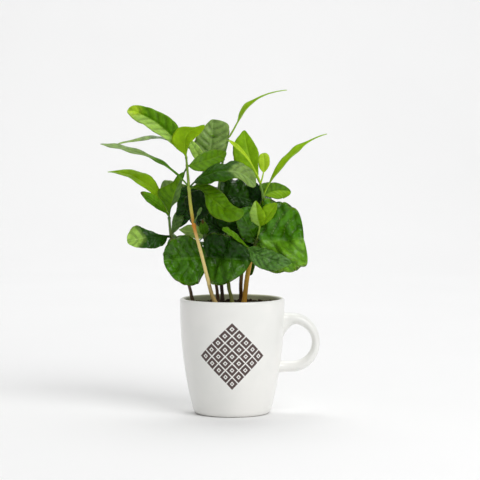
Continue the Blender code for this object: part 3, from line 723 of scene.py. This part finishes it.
def leaf_finish(name, tones, lit_shaded_side, end_from, veins, roughness, sheen, depth):
    """Waxy leaf skin of three (tone, vein) pairs: the main one, a tone painted on one of the halves for its light or
    shade, and the end, which is a tip's own colour on some leaves and a painted sheen on others.
    """
    skin = Finish(
        name, Subsurface_Weight=0.10, Subsurface_Radius=(0.6, 1.0, 0.05), Subsurface_Scale=0.002, IOR=1.42,
        Specular_IOR_Level=sheen,
    )
    phase, side = skin.axes("UV", UV_PHASE, 1.0)
    side = side - 0.5
    across = abs(side) * 2.0
    near_vein = abs(phase.share() - 0.5) * 2.0
    ribs = (near_vein.between(0.88, 0.985) * across.between(0.98, 0.55) * 0.45
            + across.between(0.085, 0.03) * 0.8).held()
    patches = skin.grain(85.0, detail=4.0, rough=0.6)
    net = skin.node("ShaderNodeTexVoronoi", {"feature": "DISTANCE_TO_EDGE"}, Vector=skin.place(), Scale=900.0)
    (tone, vein), (lit_shaded_half_tone, lit_shaded_half_vein), (end_or_sheen_tone, end_or_sheen_vein) = (
        (paint(*first), paint(*second)) for first, second in tones
    )
    # Painted light and shade: one half of the blade is painted lighter or darker, as light falls on a leaf folded at
    # its midrib.
    if lit_shaded_side:
        share = (side * lit_shaded_side + (patches - 0.5) * 0.10).between(-0.02, 0.06)
        tone, vein = skin.blend(share, tone, lit_shaded_half_tone), skin.blend(share, vein, lit_shaded_half_vein)
    # The end: the tip's own colour, such as dry brown or young green, and on some leaves a painted grey sheen band.
    if end_from:
        share = ((phase - 0.35) / veins + (patches - 0.5) * 0.25).between(end_from - 0.10, end_from + 0.10)
        tone, vein = skin.blend(share, tone, end_or_sheen_tone), skin.blend(share, vein, end_or_sheen_vein)
    pale = skin.blend(0.20, tone, vein)
    dark = skin.blend(0.28, tone, paint(14, 44, 0))
    body = skin.blend(patches.between(0.30, 0.72), dark, pale)
    # Painted light and shade of the small puckers: specks lighter toward the vein colour and darker toward deep green.
    painted_pucker_light_shade = skin.grain(270.0, detail=3.0, rough=0.6)
    body = skin.blend(painted_pucker_light_shade.between(0.52, 0.70) * depth * 0.8, body, skin.blend(0.5, body, vein))
    body = skin.blend(painted_pucker_light_shade.between(0.48, 0.34) * depth * 0.8, body, skin.blend(0.35, body, paint(10, 34, 0)))
    # Painted shade: the hollows between the side veins are darkened as deep as they are, for the shade that falls into
    # them.
    painted_hollow_shade = near_vein.between(0.45, 0.95) * across.between(1.0, 0.75) * (0.6 + patches * 0.8)
    body = skin.blend(painted_hollow_shade * depth, body, skin.blend(0.55, body, paint(10, 34, 0)))
    body = skin.blend(net.between(0.12, 0.0) * 0.10, body, vein)
    # Painted light: a paler yellow-green rim along the edge, for the glow of light through the thin margin.
    body = skin.blend(across.between(0.93, 0.99) * 0.5, body, skin.blend(0.12, vein, paint(190, 216, 70)))
    skin.show(skin.blend(ribs * 0.55, body, vein), roughness + patches * 0.12 + ribs * 0.06)
    ripple = skin.grain(200.0, detail=1.5, rough=0.45)
    skin.relief(net * 0.07 + patches * 0.4 + ripple * (depth * 1.5), 0.0018, strength=0.85)
    return skin.material


leaf_finishes = {}


def leaf_pair(shape, veins):
    """Key of the upper and under finish of a leaf, which are made when a leaf first needs them."""
    # half: a tone painted on one half of the blade for the light or shade on it.
    lit_shaded_half_tone, lit_shaded_side = shape.get("half", (shape["tone"], 0))
    end_or_sheen_tone, end_from = shape.get("end", (shape["tone"], 0))
    key = (shape["tone"], lit_shaded_half_tone, lit_shaded_side, end_or_sheen_tone, end_from, round(veins, 1) if end_from else 0)
    if key not in leaf_finishes:
        name = "_".join(dict.fromkeys((shape["tone"], lit_shaded_half_tone, end_or_sheen_tone))) + f"_{len(leaf_finishes)}"
        three = [TONES[tone] for tone in (shape["tone"], lit_shaded_half_tone, end_or_sheen_tone)]
        roughness, sheen, depth = three[0][3:]
        upper = [(tone[0], tone[1]) for tone in three]
        under = [(tone[2], tuple(min(255, c + 24) for c in tone[2])) for tone in three]
        leaf_finishes[key] = (
            leaf_finish(name + "_upper", upper, lit_shaded_side, end_from, key[-1], roughness, sheen, depth),
            leaf_finish(name + "_under", under, lit_shaded_side, end_from, key[-1], roughness + 0.2, sheen * 0.6,
                        depth * 0.5),
        )
    return key


def mass_object(name, store):
    """One mesh object from the gathered arrays, in metres."""
    points = np.vstack(store["points"]) * MM
    faces = np.vstack(store["faces"])
    mesh = bpy.data.meshes.new(name)
    mesh.vertices.add(len(points))
    mesh.vertices.foreach_set("co", points.ravel())
    mesh.loops.add(faces.size)
    mesh.loops.foreach_set("vertex_index", faces.ravel())
    mesh.polygons.add(len(faces))
    mesh.polygons.foreach_set("loop_start", np.arange(0, faces.size, 4))
    uv_map = mesh.uv_layers.new(name="blade")
    mesh.update(calc_edges=True)
    uv_map.data.foreach_set("uv", np.vstack(store["uvs"]).ravel())
    for key in store["finishes"]:
        for side_finish in leaf_finishes[key]:
            mesh.materials.append(side_finish)
    mesh.polygons.foreach_set("material_index", np.concatenate(store["materials"]).astype(np.int32))
    mesh.shade_smooth()
    mesh.validate()
    return placed(name, mesh)


masses = []
SHOOT_FOOT = (20.3, -7, 142.5)
SHOOT_END = (22.7, -20, 155.5)


def mass(name, joint, leaves, sprigs=()):
    """Makes one mass of foliage: the leaves at its joint, and those at the ends of small shoots."""
    rng = random.Random(100 + len(masses))
    store = dict(points=[], faces=[], uvs=[], materials=[], finishes=[], count=0)
    for foot, shapes in ((joint, leaves), *sprigs):
        for shape in shapes:
            add_leaf(store, foot, shape, rng)
    piece = mass_object(name + "_leaves", store)
    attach(piece, "root")
    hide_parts(name)
    masses.append(piece)


# In the leaves below, half= paints one half of a blade lighter or darker, as painted light and shade on a leaf folded
# at its midrib.
mass("foliage_front_top", (-37.2, -21, 211.5), [
    leaf((-85, -6, 250), 24, (0.1, -1, 0.5), "leafy", (28, 74, 104, 102, 56), (26, 76, 80, 62, 42), arch=0.07,
        sway=(-0.06, -0.085, -0.06), fold=30, quilt=3.3, veins=7, half=("pale", 1), end=("lime", 0.78)),
    leaf((-22, -36, 237.5), 34, (-0.2, -1, 0.15), "fresh", (22, 62, 54, 12, 6), (10, 30, 46, 42, 22), arch=0.05,
        sway=(0.16, 0.25, 0.17), fold=20, stalk=0.05, quilt=0.3, wave=0.02),
])
mass("foliage_front_upper", (-36, -22, 204), [
    leaf((-5, 2, 215), 16, (0.1, -1, 0.35), "olive", (25, 70, 95, 75, 35), (70, 110, 100, 75, 35), arch=0.03, fold=8,
        stalk=0.03, sway=-0.03, quilt=0.5),
    leaf((-50, -5, 186), 7, (-0.2, -1, 0.3), "mid", stalk=0.2, sway=0.08, quilt=0.5),
])
mass("foliage_front_middle", (-34.6, -24, 186.5), [
    leaf((-107, -16, 222), 14, (-0.2, -0.24, 1), "mid", (25, 50, 62, 100, 50), (25, 50, 66, 100, 50),
        arch=(0.095, 0.11, 0.07), fold=5, stalk=0.08, wave=0.12, waves=4, quilt=0.8, end=("grey", 0.42)),
    leaf((19, -34, 188.4), 30, (-0.1, -0.6, 1), "shade", (50, 95, 100, 114, 110), (45, 90, 95, 55, 50),
        arch=(0.2, 0.27, 0.25), fold=8, cup=0.2, wave=0.02, rumple=0.3, end=("grey", 0.6)),
    leaf((9, -46, 169.5), 25, (0.3, -1, 0.4), "olive", (30, 60, 80, 52, 18), (12, 10, 92, 102, 55), lean=(0, 0.09),
        arch=0.06, fold=10, stalk=0.05, sway=(0.02, -0.07, -0.11), quilt=1.5, rumple=1.5),
], [
    ((-31.2, -26, 157.5), [
        leaf((-24.6, -31, 171), 2.8, (0, -1, 0.2), "sage", "blunt", stalk=0.5, quilt=0.2),
    ]),
])
mass("foliage_left_top", (-51.8, -2, 162), [
    leaf((-102.8, 8, 198.6), 16, (-0.1, -0.6, 1), "fresh", (30, 60, 75, 50, 16), (30, 86, 112, 66, 20), arch=0.24,
        fold=10, stalk=0.12, quilt=0.6),
    leaf((-74, -26, 183), 14, (-0.2, -1, 0.5), "leafy", (12, 40, 66, 66, 34), (10, 36, 66, 62, 35), arch=0.12, fold=22,
        stalk=0.15, quilt=1.3, half=("mid", 1), end=("brown", 0.93)),
    leaf((-41, -17, 196), 26, (-0.1, -1, 0.3), "olive", (14, 48, 108, 50, 20), (5, 10, 40, 32, 14), arch=0.16, fold=10,
        half=("sage", -1)),
    leaf((-70, 38, 176), 20, (-0.3, 0.4, 1), "mid", arch=0.15, stalk=0.12),
])
mass("foliage_left_low", (-50.2, -1, 145.5), [
    leaf((-85.5, -16, 142.5), 22.5, (0, -1, 0.3), "deep", (40, 84, 96, 76, 40), (10, 20, 56, 100, 62), arch=0.16,
        petiole=1.5, fold=16, stalk=0.12, quilt=1.4, end=("pale", 0.62)),
    leaf((-42, 14, 168), 14, (-0.3, -1, 0.5), "sage", (15, 30, 50, 50, 25), (40, 80, 100, 70, 20), quilt=1.6),
    leaf((-40, 34, 124), 25, (-1, 0.2, 0.3), "old", arch=0.12, rumple=1),
])
mass("foliage_inner_low", (-21, -6, 129.5), [
    leaf((-56, -14, 127), 43, (-0.1, -1, 0.05), "old", (42, 96, 108, 86, 42), (35, 70, 94, 82, 53), arch=0.05, fold=14,
        veins=4.6, half=("grown", -1), rumple=1.4, pleats=0.02, stalk=0),
    leaf((16, -22, 128), 40, (0.1, -1, 0.1), "deep", (60, 100, 102, 86, 55), (50, 102, 124, 104, 55),
        lean=(-0.14, -0.08), arch=0.06, fold=20, veins=4.6, quilt=1.5, half=("grown", -1), rumple=1.4, pleats=0.02,
        stalk=0),
])
mass("foliage_inner_middle", (-22.6, -1, 146.5), [
    leaf((-44, 6, 151), 13, (0.2, 1, 0.4), "pale", arch=0.05, stalk=0.06),
    leaf((-24.5, -4, 160), 8, (0.1, -1, 0.1), "mid", arch=0.05, stalk=0.05, end=("brown", 0.74)),
    leaf((-34, 46, 131), 20, (-0.1, 0.6, 1), "old", arch=0.02, stalk=0.5),
    leaf((-32, 30, 163), 20, (0, -1, 0.3), "dusk", (20, 40, 60, 60, 30), "broad", arch=0.02, stalk=0.2, quilt=1.5),
])
mass("foliage_inner_upper", (-23.6, 4, 186.5), [
    leaf((-60, 28, 184), 13, (0, -1, 0.3), "grey", (10, 30, 70, 100, 95), (10, 20, 60, 100, 95), arch=0.04),
    leaf((-31, -4, 158), 26, (-0.2, -1, 0.1), "night", arch=0.04, sway=0.03, quilt=1.3),
    leaf((-45, 12, 153), 21, (-0.2, -1, 0.3), "deep", (50, 90, 90, 70, 35), (80, 130, 88, 50, 30), arch=0.08,
        sway=-0.04, quilt=1.8),
])
mass("foliage_inner_top", (-20.5, 7, 202), [
    leaf((-16, 9, 242), 29, (0, -1, 0.1), "grey", (45, 95, 97, 62, 26), (40, 72, 90, 100, 82), arch=-0.03, fold=8,
        stalk=0.06, sway=-0.02, quilt=3, veins=6),
    leaf((-95, 0, 221), 14, (0, -0.2, 1), "sage", "blunt", arch=(0.17, 0.2, 0.13), fold=4, wave=0.08, waves=3.5,
        quilt=0.8, end=("fresh", 0.66)),
    leaf((-37, -2, 228), 9, (-0.3, -1, 0.3), "pale", quilt=0.6),
    leaf((-12, 48, 204), 20, (0, -0.1, 1), "grown", arch=0.1),
    leaf((-16, 42, 176), 18, (-1, 0, 0.2), "mid", arch=0.12),
])
mass("foliage_tall_top", (-3.5, 12, 226), [
    leaf((45, 4, 266), 15, (-0.64, -0.35, 0.77), "fresh", (50, 100, 30, 14, 9), arch=(0.094, 0.166, 0.138), fold=14,
        stalk=0.24, quilt=0.4, wave=0.05, petiole=1.6),
    leaf((-22, 50, 224), 18, (0, -0.2, 1), "bright", "pointed", arch=0.06, stalk=0.15),
    leaf((-18, 8, 228.5), 5, (0, -0.6, 1), "leafy", "pointed", arch=0.04, stalk=0.2, quilt=0.2),
])
mass("foliage_tall_middle", (-11.3, 16, 180), [
    leaf((20, 4, 173), 34, (0, -1, 0.6), "deep", (90, 95, 85, 85, 60), (30, 50, 60, 50, 30), lean=(-0.3, 0), arch=0.1,
        stalk=0.08, wave=0.14, quilt=2.4, half=("dusk", 1), rumple=1.2),
    leaf((-34, 54, 172), 24, (0, 0.3, 1), "grown", arch=0.15, stalk=0.08),
    leaf((-14, 50, 150), 24, (-1, 0, 0.4), "grown", arch=0.12, rumple=1),
    leaf((0, 52, 190), 20, (1, 0.1, 0.3), "grown", arch=0.12),
])
mass("foliage_tall_low", (-11, 18, 142), [
    leaf((2, 58, 150), 24, (0, -0.1, 1), "old", arch=0.12),
    leaf((36, 46, 148), 22, (0, 0.2, 1), "grown", arch=0.12, stalk=0.15),
    leaf((-16, 50, 122), 26, (-1, 0.1, 0.3), "old", arch=0.12, rumple=1),
    leaf((26, 24, 148), 34, (0, -1, 0.2), "night", arch=0.04, stalk=0.2, quilt=1.5),
    leaf((-31, 23, 149), 24, (0, -1, 0.2), "night", (50, 70, 40, 20, 10), (60, 90, 90, 70, 40), arch=0.03, stalk=0.05,
        quilt=1.5),
])
mass("foliage_centre_low", (-3.5, 8, 146.5), [
    leaf((-30, 12, 164), 22, (0, -1, 0.5), "deep", arch=0.03, quilt=1.6, rumple=1),
    leaf((-4, -3, 172), 17, (0, -1, 0.1), "deep", arch=0.04, stalk=0.05, quilt=1.6, rumple=1.2),
    leaf((15, 19, 161), 26, (0, -1, 0.5), "night", arch=0.08, quilt=1.6, rumple=1),
])
mass("foliage_centre_top", (-1.9, 10, 165.5), [
    leaf((26, 50, 178), 24, (0, 0.3, 1), "deep", arch=0.15),
    leaf((-20, 48, 168), 22, (0, 0.5, 1), "grown", arch=0.18),
    leaf((5, 48, 136), 26, (1, 0, 0.3), "old", arch=0.12, rumple=1),
    leaf((-26, 27, 174), 22, (0, -1, 0.2), "night", arch=0.02, stalk=0.15, quilt=1.5),
])
mass("foliage_short_top", (13.2, -15, 137.5), [
    leaf((47.5, -38, 127), 28, (0, -1, 0.35), "cool", (30, 52, 56, 46, 20), (42, 66, 70, 54, 22), lean=(0, 0.14),
        arch=0.05, sway=(-0.08, -0.11, -0.07), fold=8, stalk=0.03, quilt=2.2, rumple=2.2, pleats=0.03),
    leaf((-8, -26, 153), 15, (0, -0.5, 1), "leafy", (45, 78, 95, 95, 65), (30, 60, 85, 95, 60), arch=0.02, stalk=0.08,
        quilt=0.8),
])
mass("foliage_right_low", SHOOT_FOOT, [
    leaf((58.3, -20, 145), 66, (0.1, -1, 0.2), "old", (72, 104, 97, 86, 62), (66, 88, 90, 80, 64), lean=(-0.02, 0.24),
        arch=0.08, fold=14, veins=5, quilt=2.2, wave=0.05, half=("wide", -1), rumple=1.4, pleats=0.026, stalk=0),
    leaf((28, 42, 120), 28, (0, 0.7, 1), "old", "round", lean=(-0.3, -0.3), arch=0.1, veins=4.6, stalk=0),
    leaf((6.5, -16, 169.5), 25, (-0.1, -1, 0.2), "grown", (45, 75, 75, 60, 40), (50, 85, 95, 95, 70), fold=10,
        sway=0.02, quilt=1, half=("old", -1), rumple=1.6, stalk=0),
    leaf((14.5, 10, 113), 5.5, (0, -1, 0.2), "grown", "blunt", stalk=0.3, quilt=0.8),
    leaf((28, 36, 152), 28, (1, 0.2, 0.3), "old", arch=0.1, stalk=0.06, rumple=1),
], [
    (SHOOT_END, [
        leaf((19, -34, 176.5), 15, (-0.3, -1, 0.2), "bright", (26, 60, 88, 76, 34), (30, 70, 100, 80, 30), stalk=0.02,
            lean=(-0.15, -0.05), quilt=0.8, half=("pale", 1)),
        leaf((36, -31, 174.5), 14, (0.3, -1, 0.3), "bright", (30, 70, 105, 105, 45), (20, 45, 58, 50, 25), stalk=0.02,
            quilt=0.6),
    ]),
])
mass("foliage_right_middle", (25.4, -1, 178.5), [
    leaf((78, 4, 230), 15, (-0.7, -0.42, 0.7), "fresh", (40, 75, 100, 30, 12), (40, 80, 100, 30, 12),
        arch=(0.085, 0.11, 0.095), fold=16, stalk=0.16, quilt=0.4, wave=0.05),
    leaf((48.5, 10, 182), 19, (0, -1, 0.6), "olive", (60, 90, 86, 72, 50), (50, 95, 105, 85, 45), lean=(-0.2, 0),
        arch=0.06, sway=0.11, fold=12, stalk=0.08, wave=0.03, half=("bright", -1)),
    leaf((32, 34, 164), 22, (1, 0.1, 0.4), "grown", arch=0.1, stalk=0.06),
    leaf((3, 18, 171), 25, (0, -1, 0.3), "night", (95, 100, 100, 80, 40), (95, 100, 100, 70, 30), arch=0.03,
        stalk=0.02, quilt=1.6, rumple=1),
])
mass("foliage_right_top", (23.2, -1, 189), [
    leaf((10, 8, 233), 23, (-0.1, -1, 0.2), "bright", (50, 102, 114, 94, 34), (20, 45, 75, 55, 22), arch=-0.03,
        fold=10, stalk=0.12, sway=0.05, quilt=0.4, wave=0.03),
    leaf((-3, -14, 225), 4.4, (0.3, -0.8, 0.6), "lime", (15, 30, 62, 100, 70), stalk=0.12, sway=-0.06, quilt=0.2),
    leaf((25.4, 12, 214), 10, (-0.2, -1, 0.1), "lime", "blunt", stalk=0.35, sway=-0.08, quilt=0.3),
    leaf((42, 42, 179), 18, (0.2, 0.2, 1), "mid", arch=-0.02),
])


# The side shoot at the right stem's seed leaves is a thin green twig of soft young wood.
# It grows out of the stem's joint and carries two young leaves of that mass at its end.
shoot_start, shoot_end = np.array(SHOOT_FOOT, float), np.array(SHOOT_END, float)
shoot_middle = shoot_start + (shoot_end - shoot_start) * 0.4 + np.array((0, -3, 0))
shoot_points = [(*shoot_start, 0.85), (*shoot_middle, 0.75), (*(shoot_end + np.array((0, 0, 0.6))), 0.65)]
twig_shape = stem_tube(curve_through(shoot_points, STEM_STEP), (155.0,), seed=31.0, sides=14, foot_level=False)
twig = shape_object("side_shoot_twig", twig_shape)
twig.data.shade_smooth()
twig_skin = bark("side_shoot_skin", 142, 156, [(0, 128, 150, 48), (1, 140, 176, 50)])
twig.data.materials.append(twig_skin.material)
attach(twig, "root")


# The place to stand it: a pale seamless sweep, which is not part of the plant.
# A large soft light stands at the right and above, and the white surround fills the rest.
SWEEP_STEPS = 12
SWEEP_STRIDE = 0.13
SWEEP_SIZE = (9.0, 5.0, 1.0)
SWEEP_SHIFT = (0, -0.9, 0)
SWEEP_HEIGHT = 3.0
ROOM_LIGHT = 0.39
bpy.ops.mesh.primitive_plane_add(size=1.0, location=(0, 0, 0))
floor = bpy.context.object
floor.name = "floor_sweep"
bpy.ops.object.mode_set(mode="EDIT")
bpy.ops.mesh.select_all(action="SELECT")
bpy.ops.transform.resize(value=SWEEP_SIZE)
bpy.ops.transform.translate(value=SWEEP_SHIFT)
bpy.ops.object.mode_set(mode="OBJECT")
for vertex in floor.data.vertices:
    vertex.select = vertex.co.y > 1.0
for edge in floor.data.edges:
    edge.select = all(floor.data.vertices[i].select for i in edge.vertices)
for face in floor.data.polygons:
    face.select = False
bpy.ops.object.mode_set(mode="EDIT")
bpy.context.tool_settings.mesh_select_mode = (False, True, False)
for i in range(SWEEP_STEPS):
    angle = math.radians(90) * (i + 0.5) / SWEEP_STEPS
    bpy.ops.mesh.extrude_edges_move(
        TRANSFORM_OT_translate={"value": (0, SWEEP_STRIDE * math.cos(angle), SWEEP_STRIDE * math.sin(angle))}
    )
bpy.ops.mesh.extrude_edges_move(TRANSFORM_OT_translate={"value": (0, 0, SWEEP_HEIGHT)})
bpy.ops.object.mode_set(mode="OBJECT")
floor.data.shade_smooth()
paper = Finish("pale_paper", Specular_IOR_Level=0.1)
mottle = paper.grain(3.0)
paper.show(paper.blend(mottle, paint(243, 243, 243), paint(247, 247, 247)), 0.85 + mottle * 0.1)
floor.data.materials.append(paper.material)

world = bpy.data.worlds.new("white_room")
bpy.context.scene.world = world
world.use_nodes = True
background = world.node_tree.nodes["Background"]
background.inputs["Color"].default_value = (1.0, 1.0, 1.0, 1.0)
background.inputs["Strength"].default_value = ROOM_LIGHT


def soft_light(name, place, aim, size, power):
    """Square area light that looks at a point."""
    lamp = bpy.data.lights.new(name, "AREA")
    lamp.shape = "SQUARE"
    lamp.size = size
    lamp.energy = power
    holder = placed(name, lamp)
    holder.location = place
    holder.rotation_euler = (Vector(aim) - Vector(place)).to_track_quat("-Z", "Y").to_euler()


soft_light("window_light", (1.05, -1.4, 1.5), (0, 0, 0.12), 1.3, 27.0)
soft_light("overhead_light", (-0.1, 1.2, 2.6), (-0.1, 1.5, 0.0), 2.0, 33.5)

CAMERA_PLACE = (0.0064, -1.690, 0.2415)
CAMERA_TILT = 3.34
FOCAL_PIXELS = 2058.0
IMAGE_PIXELS = 480.0
camera_data = bpy.data.cameras.new("view")
camera_data.sensor_width = 36.0
camera_data.lens = FOCAL_PIXELS / IMAGE_PIXELS * camera_data.sensor_width
camera_data.clip_end = 50.0
camera = placed("view", camera_data)
camera.location = CAMERA_PLACE
camera.rotation_euler = (math.radians(90 - CAMERA_TILT), 0, 0)
bpy.context.scene.camera = camera
bpy.context.scene.view_settings.view_transform = "Standard"
